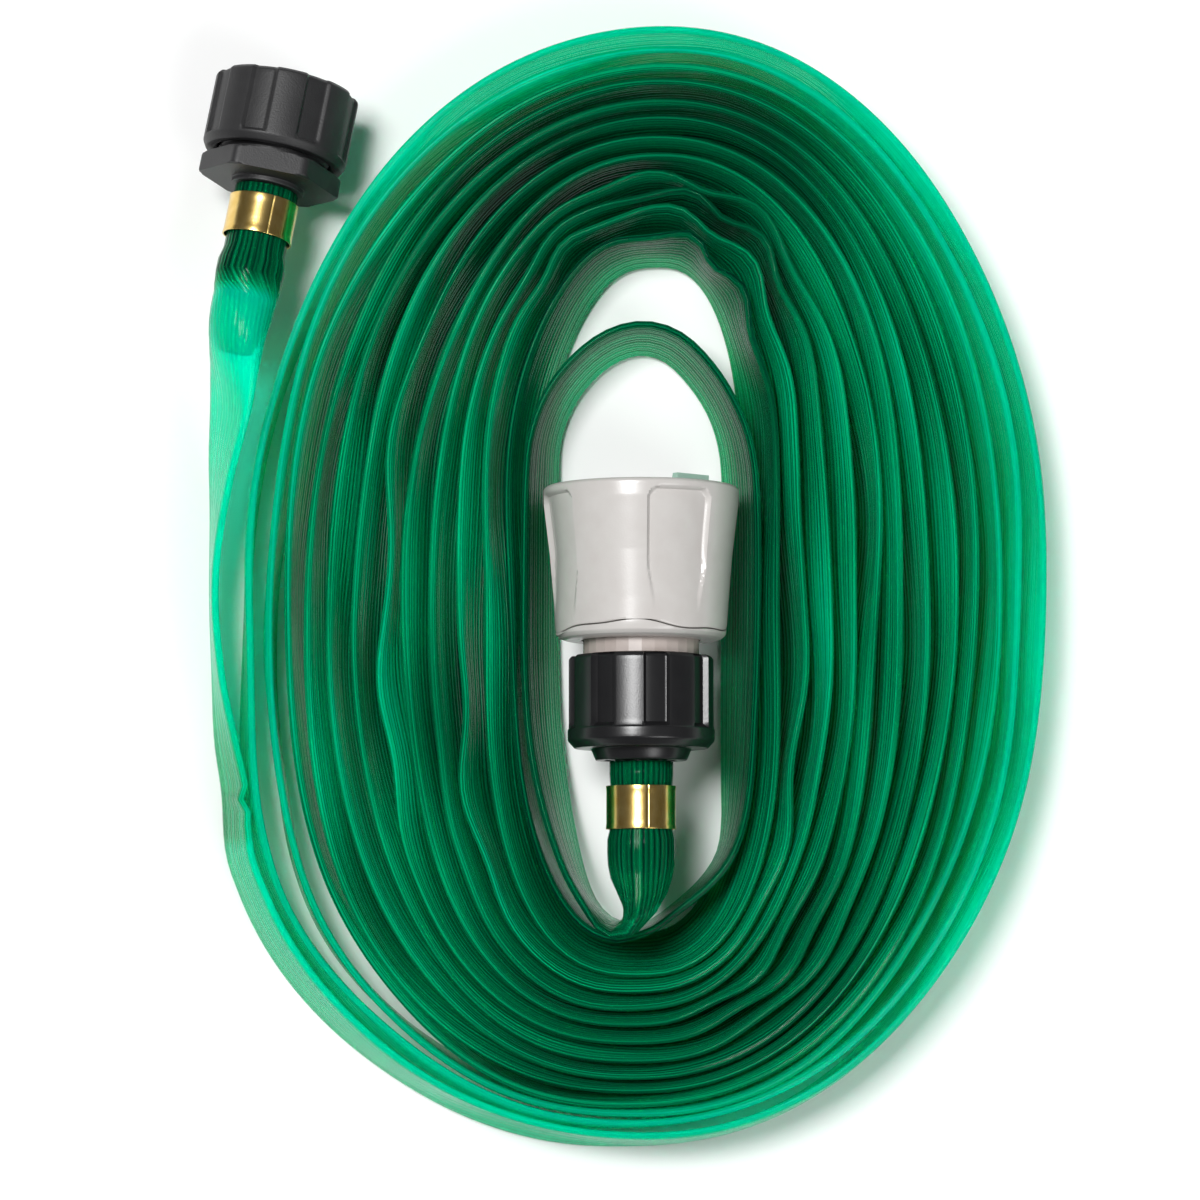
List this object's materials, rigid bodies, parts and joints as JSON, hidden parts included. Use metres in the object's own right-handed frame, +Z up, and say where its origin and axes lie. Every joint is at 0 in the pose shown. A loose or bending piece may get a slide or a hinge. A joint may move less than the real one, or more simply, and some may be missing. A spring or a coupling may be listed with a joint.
{
  "type": "soaker hose",
  "caption": "Lay-flat soaker hose wound on edge into an oval coil, with a quick connector on a swivel nut at one end and a screw-capped threaded spigot at the other.",
  "frame": {"origin": "centre of the coil's footprint on the surface it lies on", "axes": "+Y along the coil's long axis towards the capped end, +X to the right seen from above, +Z up"},
  "size_m": [0.1973, 0.2602, 0.0459],
  "materials": {
    "hose_pvc": "translucent green extruded PVC with fine lengthwise ribs",
    "black_plastic": "satin moulded",
    "matte_black_plastic": "fine grained",
    "grey_plastic": "satin warm light grey",
    "green_plastic": "satin pale green",
    "brass": "bright, finely brushed",
    "seal_rubber": "matt",
    "spring_steel": "drawn wire"
  },
  "bodies": {
    "hose": {"hose_coil": "hose_pvc", "hose_inner_loop": "hose_pvc", "hose_tail": "hose_pvc", "hose_inner_neck": "hose_pvc", "hose_outer_neck": "hose_pvc", "tap_spigot": "black_plastic", "tap_ferrule": "brass", "nut_washer": "seal_rubber", "end_spigot": "matte_black_plastic", "end_ferrule": "brass"},
    "nut": {"swivel_nut": "black_plastic"},
    "connector": {"connector_core": "grey_plastic", "sleeve_spring": "spring_steel"},
    "sleeve": {"release_sleeve": "grey_plastic", "sleeve_rear_ring": "grey_plastic"},
    "claw_upper": {"claw_upper": "green_plastic"},
    "claw_lower": {"claw_lower": "green_plastic"},
    "cap_seal": {"end_cap_washer": "seal_rubber"},
    "cap": {"end_cap": "matte_black_plastic"}
  },
  "joints": [
    {"name": "nut_turn", "type": "hinge", "parent": "hose", "child": "nut", "pos_m": [0.00535, -0.0251, 0.02721], "axis": [0, -0.9962, 0.0872], "range_deg": [0, 1801]},
    {"name": "connector_unscrew", "type": "slide", "parent": "hose", "child": "connector", "axis": [0, 0.9962, -0.0872], "range_m": [0, 0.00907]},
    {"name": "sleeve_slide", "type": "slide", "parent": "connector", "child": "sleeve", "axis": [0, -0.9962, 0.0872], "range_m": [0, 0.0033], "stiffness_N_per_m": 800, "springref_m": -0.004, "deforming": ["sleeve_spring"]},
    {"name": "claw_upper_open", "type": "hinge", "parent": "connector", "child": "claw_upper", "pos_m": [0.0148, 0.01025, 0.03542], "axis": [0.766, -0.056, -0.6403], "range_deg": [0, 5.1]},
    {"name": "claw_lower_open", "type": "hinge", "parent": "connector", "child": "claw_lower", "pos_m": [-0.0041, 0.00829, 0.01298], "axis": [-0.766, 0.056, 0.6403], "range_deg": [0, 5.1]},
    {"name": "cap_lift", "type": "slide", "parent": "hose", "child": "cap_seal", "axis": [0.1812, 0.968, -0.1736], "range_m": [0, 0.01088]},
    {"name": "cap_turn", "type": "hinge", "parent": "cap_seal", "child": "cap", "pos_m": [-0.07954, 0.11038, 0.01839], "axis": [0.1812, 0.968, -0.1736], "range_deg": [0, 2161]}
  ],
  "couplings": [
    {"joint": "nut_turn", "follows": "connector_unscrew", "rad_per_m": 3463.7},
    {"joint": "claw_upper_open", "follows": "sleeve_slide", "rad_per_m": 26.44},
    {"joint": "claw_lower_open", "follows": "sleeve_slide", "rad_per_m": 26.44},
    {"joint": "cap_turn", "follows": "cap_lift", "rad_per_m": 3463.7}
  ]
}
